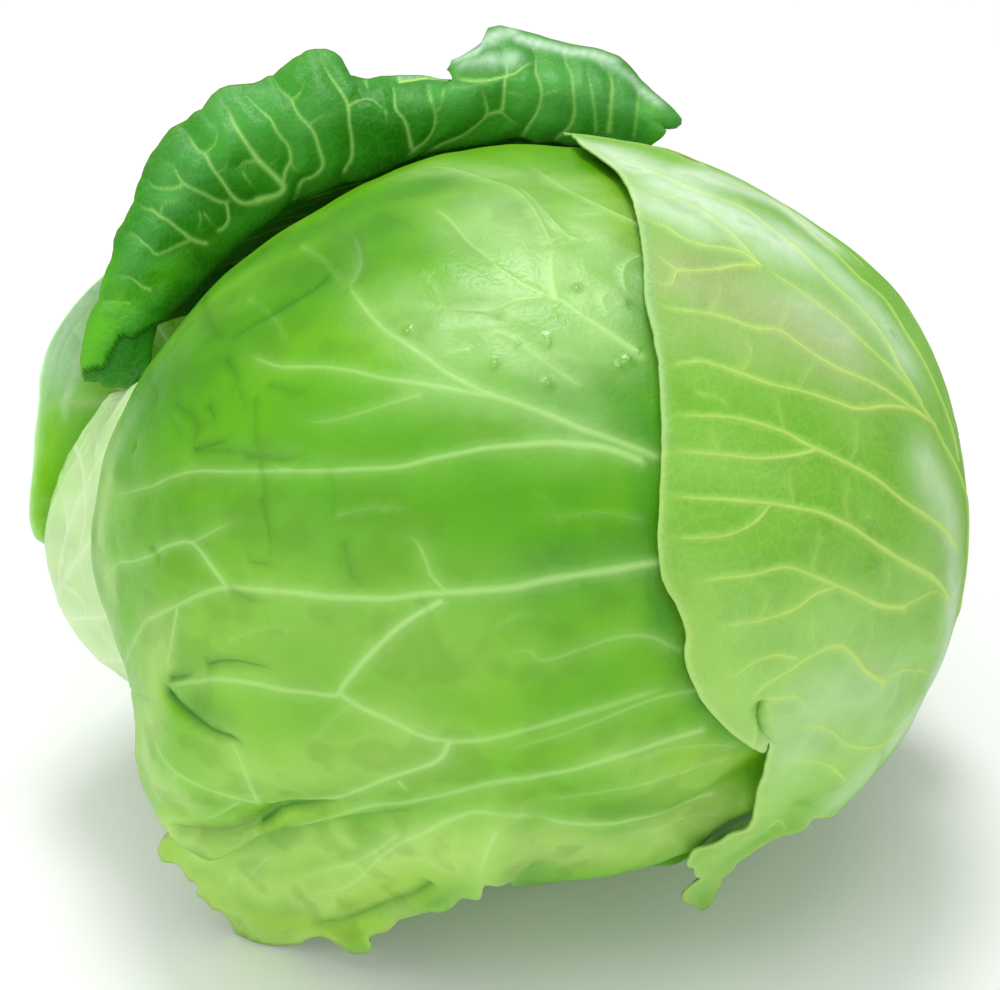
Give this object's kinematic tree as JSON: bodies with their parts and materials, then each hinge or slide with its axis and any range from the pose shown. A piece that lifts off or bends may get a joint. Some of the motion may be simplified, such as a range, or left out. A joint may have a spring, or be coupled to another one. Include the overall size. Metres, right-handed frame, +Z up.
{
  "type": "spring cabbage",
  "caption": "Round spring cabbage with loose wrapper leaves, a dark flared collar leaf and a cut stem, lying on its side.",
  "frame": {"origin": "middle of the flat patch under the head, on the surface that the cabbage lies on", "axes": "+X to the stem end, +Z up, -Y to the front with the big front leaf; the cabbage lies on its side"},
  "size_m": [0.2137, 0.1805, 0.1634],
  "materials": {
    "heart_leaf": "pale yellow-green tight inner leaves",
    "cut_stem": "pale cut stalk, matte and slightly dried",
    "pale_leaf": "pale whitish-green leaf, smooth",
    "front_leaf": "bright green leaf, waxy with a soft gloss",
    "left_leaf": "light green leaf with a bluish waxy bloom at its edge",
    "wrapper_leaf": "matte light green leaf with raised pale veins",
    "bright_leaf": "bright green leaf",
    "collar_leaf": "dark green leaf with pale veins and a bluish bloom"
  },
  "bodies": {
    "root": {"heart_of_inner_leaves": "heart_leaf", "stem_stump": "cut_stem", "apex_pale_leaf": "pale_leaf", "under_leaf": "wrapper_leaf", "front_leaf": "front_leaf", "left_wrapper_leaf": "left_leaf", "right_wrapper_leaf": "wrapper_leaf", "top_wrapper_leaf": "bright_leaf", "collar_leaf": "collar_leaf"}
  },
  "joints": []
}
